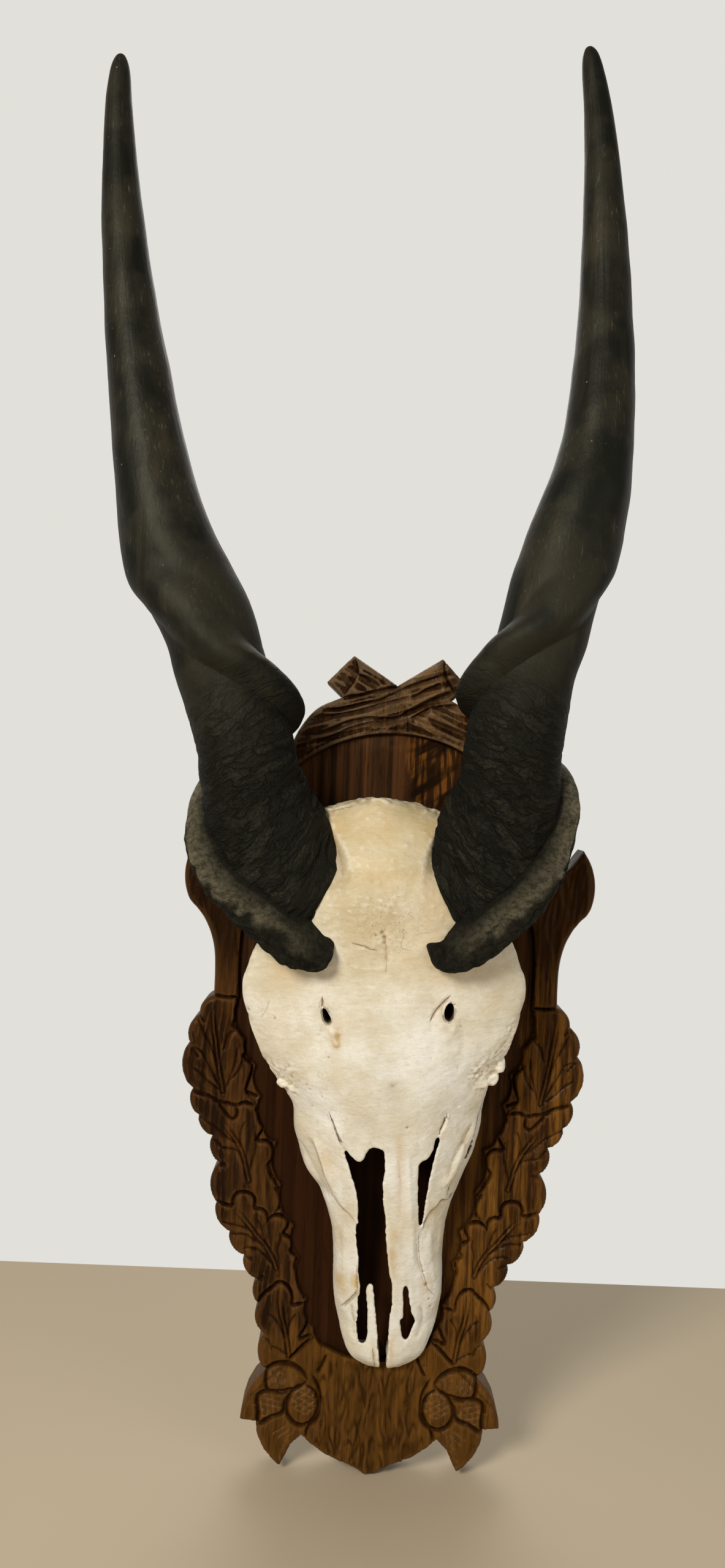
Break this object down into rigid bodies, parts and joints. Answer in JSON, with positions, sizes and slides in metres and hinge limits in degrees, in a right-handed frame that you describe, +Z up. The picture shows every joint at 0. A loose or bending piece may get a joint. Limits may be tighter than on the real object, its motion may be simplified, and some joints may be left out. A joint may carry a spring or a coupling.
{
  "type": "eland horn trophy",
  "caption": "Bleached antelope skull with long spiral-keeled horns, mounted on an upright dark oak board carved with oak leaves and acorns.",
  "frame": {"origin": "on the board's flat back face, in the middle of its width, level with the skull's brow and 312 mm above the board's lowest point", "axes": "+Z up, +Y into the wall, so the carved face looks along -Y, +X to the viewer's right"},
  "size_m": [0.3966, 0.1354, 1.0815],
  "materials": {
    "stained oak": "dark stain under a satin varnish",
    "bleached bone": "dry matte bone",
    "dark horn": "rough and cracked at the base, satin towards the tips"
  },
  "bodies": {
    "root": {"board": "stained oak", "skull": "bleached bone", "horn_left": "dark horn", "horn_right": "dark horn"}
  },
  "joints": []
}
